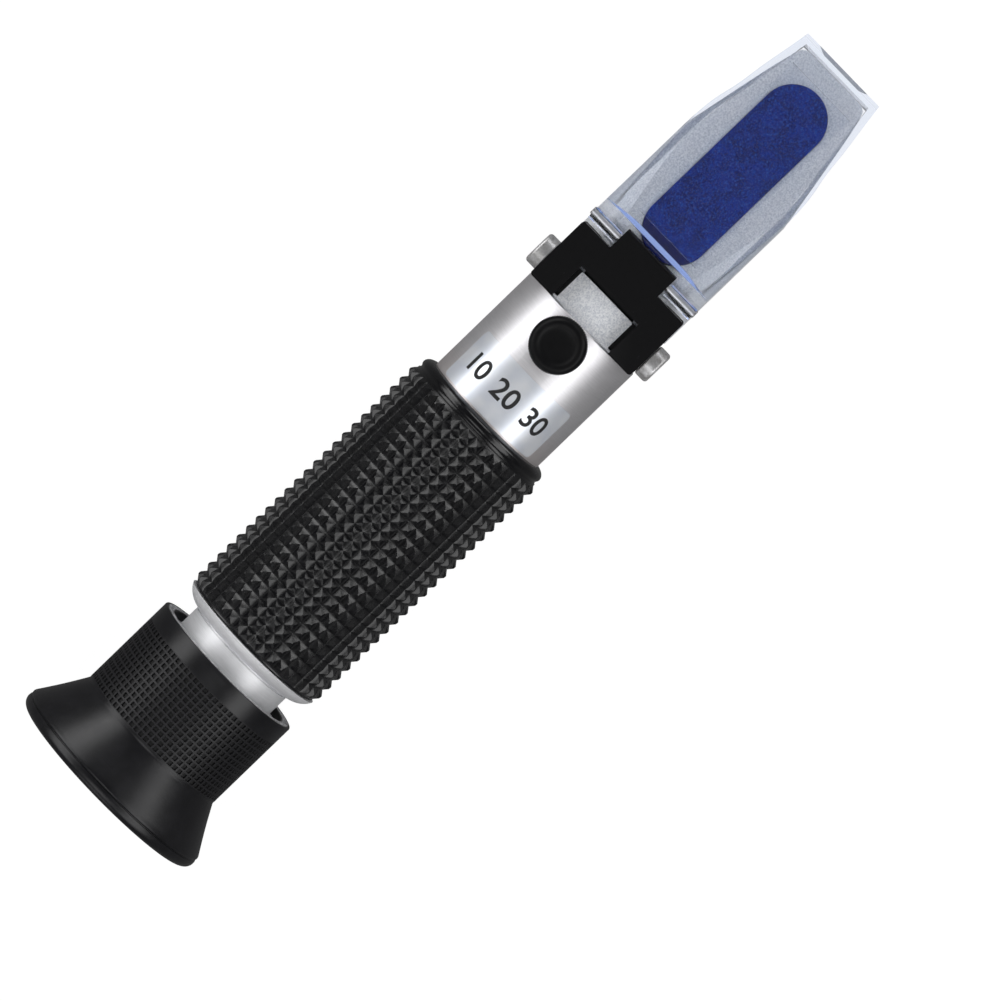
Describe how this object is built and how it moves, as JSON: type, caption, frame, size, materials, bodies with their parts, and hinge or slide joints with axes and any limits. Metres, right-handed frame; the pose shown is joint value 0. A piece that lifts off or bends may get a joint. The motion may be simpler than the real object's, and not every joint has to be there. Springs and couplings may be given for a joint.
{
  "type": "hand-held refractometer",
  "caption": "Pocket refractometer: flip-up clear daylight plate over a blue prism on a sloping metal head, turned tube with knurled rubber grip, and a focusing eyepiece with flared eyecup.",
  "frame": {"origin": "centre of the bounding box, on the optical axis at mid-length", "axes": "+X along the optical axis from the eyecup to the prism tip, +Z out of the side with the daylight plate, +Y to the left when looking towards the prism"},
  "size_m": [0.1719, 0.0394, 0.0394],
  "materials": {
    "eyecup_rubber": "satin moulded rubber, fine square grain on the barrel",
    "grip_rubber": "matte moulded rubber with square pyramid teeth",
    "cap_rubber": "smooth matte rubber",
    "seal_rubber": "smooth rubber",
    "satin_aluminium": "fine turned, satin silver anodised",
    "bright_aluminium": "turned, bright silver anodised",
    "head_metal": "cast and milled, satin",
    "hinge_black": "black enamel",
    "clear_plate": "clear moulded plastic with a frosted underside",
    "prism_glass": "polished deep blue glass",
    "lens_glass": "polished",
    "reticle_glass": "polished, with a printed scale",
    "screw_steel": "turned",
    "black_anodised": "matte black anodised",
    "brass": "turned",
    "spring_metal": "rolled strip",
    "label_foil": "pale printed foil"
  },
  "bodies": {
    "root": {"main_tube": "satin_aluminium", "rear_collar": "bright_aluminium", "rubber_grip": "grip_rubber", "scale_label": "label_foil", "reticle": "reticle_glass", "reticle_ring": "brass", "light_baffle": "black_anodised", "strip_bracket": "satin_aluminium", "bracket_screws": "screw_steel", "calibration_bushing": "brass", "prism_seat": "head_metal", "head_seal_ring": "seal_rubber", "prism": "prism_glass", "hinge_block": "hinge_black", "side_screws": "screw_steel", "hinge_pin": "screw_steel"},
    "cover": {"daylight_plate": "clear_plate"},
    "cap": {"calibration_cap": "cap_rubber"},
    "lens_carriage": {"bimetal_strip": "spring_metal", "lens_cell": "brass", "cell_rivets": "brass", "objective_lens": "lens_glass", "objective_ring": "brass"},
    "zero_screw": {"calibration_screw": "brass"},
    "focus_ring": {"focus_o_ring": "seal_rubber"},
    "eyepiece": {"eyecup": "eyecup_rubber", "focus_barrel": "bright_aluminium", "lens_holder": "black_anodised", "eye_lens_ring": "black_anodised", "eye_lens": "lens_glass", "lens_spacer": "black_anodised", "field_lens": "lens_glass"}
  },
  "joints": [
    {"name": "plate_flip", "type": "hinge", "parent": "root", "child": "cover", "pos_m": [0.0405, 0, 0.01125], "axis": [0, -1, 0], "range_deg": [0, 115]},
    {"name": "cap_pull", "type": "slide", "parent": "root", "child": "cap", "axis": [0, 0, 1], "range_m": [0, 0.006]},
    {"name": "zero_shift", "type": "slide", "parent": "root", "child": "lens_carriage", "axis": [0, 0, 1], "range_m": [-0.0005, 0.0005]},
    {"name": "zero_turn", "type": "hinge", "parent": "lens_carriage", "child": "zero_screw", "pos_m": [0.0208, 0, 0.0105], "axis": [0, 0, 1], "range_deg": [-360, 360]},
    {"name": "focus_travel", "type": "slide", "parent": "root", "child": "focus_ring", "axis": [1, 0, 0], "range_m": [-0.0024, 0.0024]},
    {"name": "focus_turn", "type": "hinge", "parent": "focus_ring", "child": "eyepiece", "pos_m": [-0.065, 0, 0], "axis": [1, 0, 0], "range_deg": [-360, 360]}
  ],
  "couplings": [
    {"joint": "zero_turn", "follows": "zero_shift", "rad_per_m": 12566},
    {"joint": "focus_travel", "follows": "focus_turn", "m_per_rad": 0.00038197}
  ]
}
